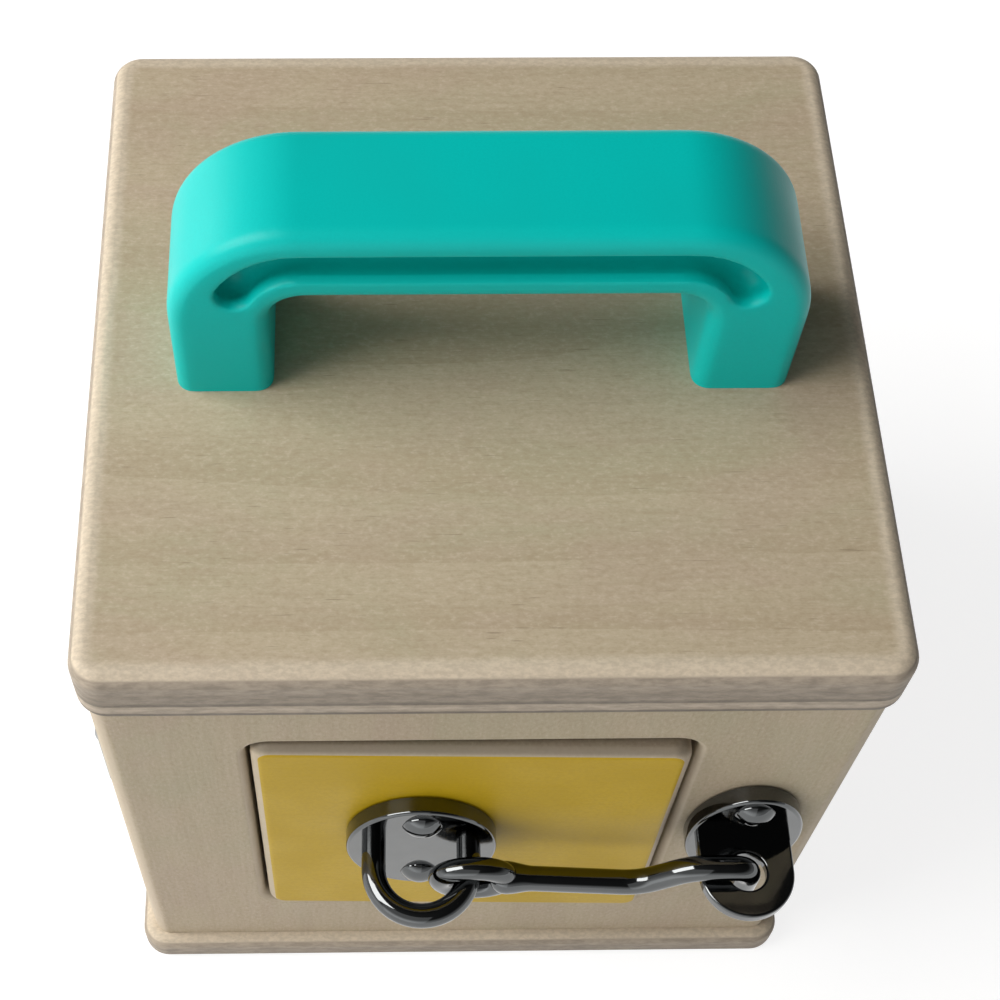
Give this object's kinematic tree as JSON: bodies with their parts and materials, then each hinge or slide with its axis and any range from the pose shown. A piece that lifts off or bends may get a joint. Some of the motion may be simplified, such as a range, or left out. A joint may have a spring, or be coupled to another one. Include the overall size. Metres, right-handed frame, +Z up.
{
  "type": "wooden toy lock box",
  "caption": "Wooden toy box with a turquoise carrying handle and a painted door in each side: hook and eye, barrel bolt, slide bar and turn button fastenings.",
  "frame": {"origin": "middle of the base board's underside, on the floor", "axes": "+Z up, -Y out of the front with the yellow door and the hook, +X to the right of someone facing that front"},
  "size_m": [0.1746, 0.1901, 0.1963],
  "materials": {
    "bare_wood": "sanded and clear sealed",
    "yellow_paint": "satin paint on the front face",
    "red_paint": "satin paint on the front face",
    "blue_paint": "satin paint on the front face",
    "green_paint": "satin paint on the front face",
    "turquoise_plastic": "smooth moulded",
    "nickel": "polished dark nickel plate",
    "steel": "zinc plated"
  },
  "bodies": {
    "box": {"base_board": "bare_wood", "lid_board": "bare_wood", "front_wall": "bare_wood", "back_wall": "bare_wood", "left_wall": "bare_wood", "right_wall": "bare_wood", "lid_dowel_front_left": "bare_wood", "lid_dowel_front_right": "bare_wood", "lid_dowel_back_left": "bare_wood", "lid_dowel_back_right": "bare_wood", "base_screw_front_left": "steel", "base_screw_front_right": "steel", "base_screw_back_left": "steel", "base_screw_back_right": "steel", "handle": "turquoise_plastic", "handle_screw_left": "steel", "handle_screw_right": "steel", "front_pin_lower": "steel", "front_pin_upper": "steel", "right_pin_lower": "steel", "right_pin_upper": "steel", "back_pin_lower": "steel", "back_pin_upper": "steel", "left_pin_lower": "steel", "left_pin_upper": "steel", "hook_keeper": "nickel", "keeper_screw_upper": "nickel", "keeper_screw_lower": "nickel", "bolt_keeper": "nickel", "bolt_keeper_screw_upper": "nickel", "bolt_keeper_screw_lower": "nickel", "turn_button_screw": "nickel", "bar_guide_wall": "bare_wood"},
    "front_door": {"front_door": "yellow_paint", "hook_plate": "nickel", "hook_plate_screw_upper": "nickel", "hook_plate_screw_lower": "nickel", "hook_bail": "nickel"},
    "hook": {"hook": "nickel"},
    "right_door": {"right_door": "red_paint", "bolt_plate": "nickel", "bolt_screw_upper": "nickel", "bolt_screw_lower": "nickel"},
    "slide_bolt": {"slide_bolt": "nickel"},
    "back_door": {"back_door": "blue_paint", "bar_guide_inner": "bare_wood", "bar_guide_outer": "bare_wood"},
    "slide_bar": {"slide_bar": "bare_wood"},
    "left_door": {"left_door": "green_paint"},
    "turn_button": {"turn_button": "nickel"}
  },
  "joints": [
    {"name": "front_door_swing", "type": "hinge", "parent": "box", "child": "front_door", "pos_m": [-0.03975, -0.0695, 0.0774], "axis": [0, 0, -1], "range_deg": [-1, 104]},
    {"name": "hook_lift", "type": "hinge", "parent": "front_door", "child": "hook", "pos_m": [-0.0018, -0.0841, 0.08], "axis": [0, -1, 0], "range_deg": [0, 100]},
    {"name": "right_door_swing", "type": "hinge", "parent": "box", "child": "right_door", "pos_m": [0.0705, -0.03975, 0.0774], "axis": [0, 0, -1], "range_deg": [0, 105]},
    {"name": "bolt_slide", "type": "slide", "parent": "right_door", "child": "slide_bolt", "axis": [0, 1, 0], "range_m": [0, 0.0195]},
    {"name": "back_door_swing", "type": "hinge", "parent": "box", "child": "back_door", "pos_m": [0.03975, 0.0695, 0.0774], "axis": [0, 0, -1], "range_deg": [0, 105]},
    {"name": "bar_slide", "type": "slide", "parent": "back_door", "child": "slide_bar", "axis": [-1, 0, 0], "range_m": [0, 0.025]},
    {"name": "left_door_swing", "type": "hinge", "parent": "box", "child": "left_door", "pos_m": [-0.0705, 0.03975, 0.0774], "axis": [0, 0, -1], "range_deg": [0, 105]},
    {"name": "button_turn", "type": "hinge", "parent": "box", "child": "turn_button", "pos_m": [-0.0778, -0.05065, 0.08], "axis": [-1, 0, 0], "range_deg": [0, 90]}
  ]
}
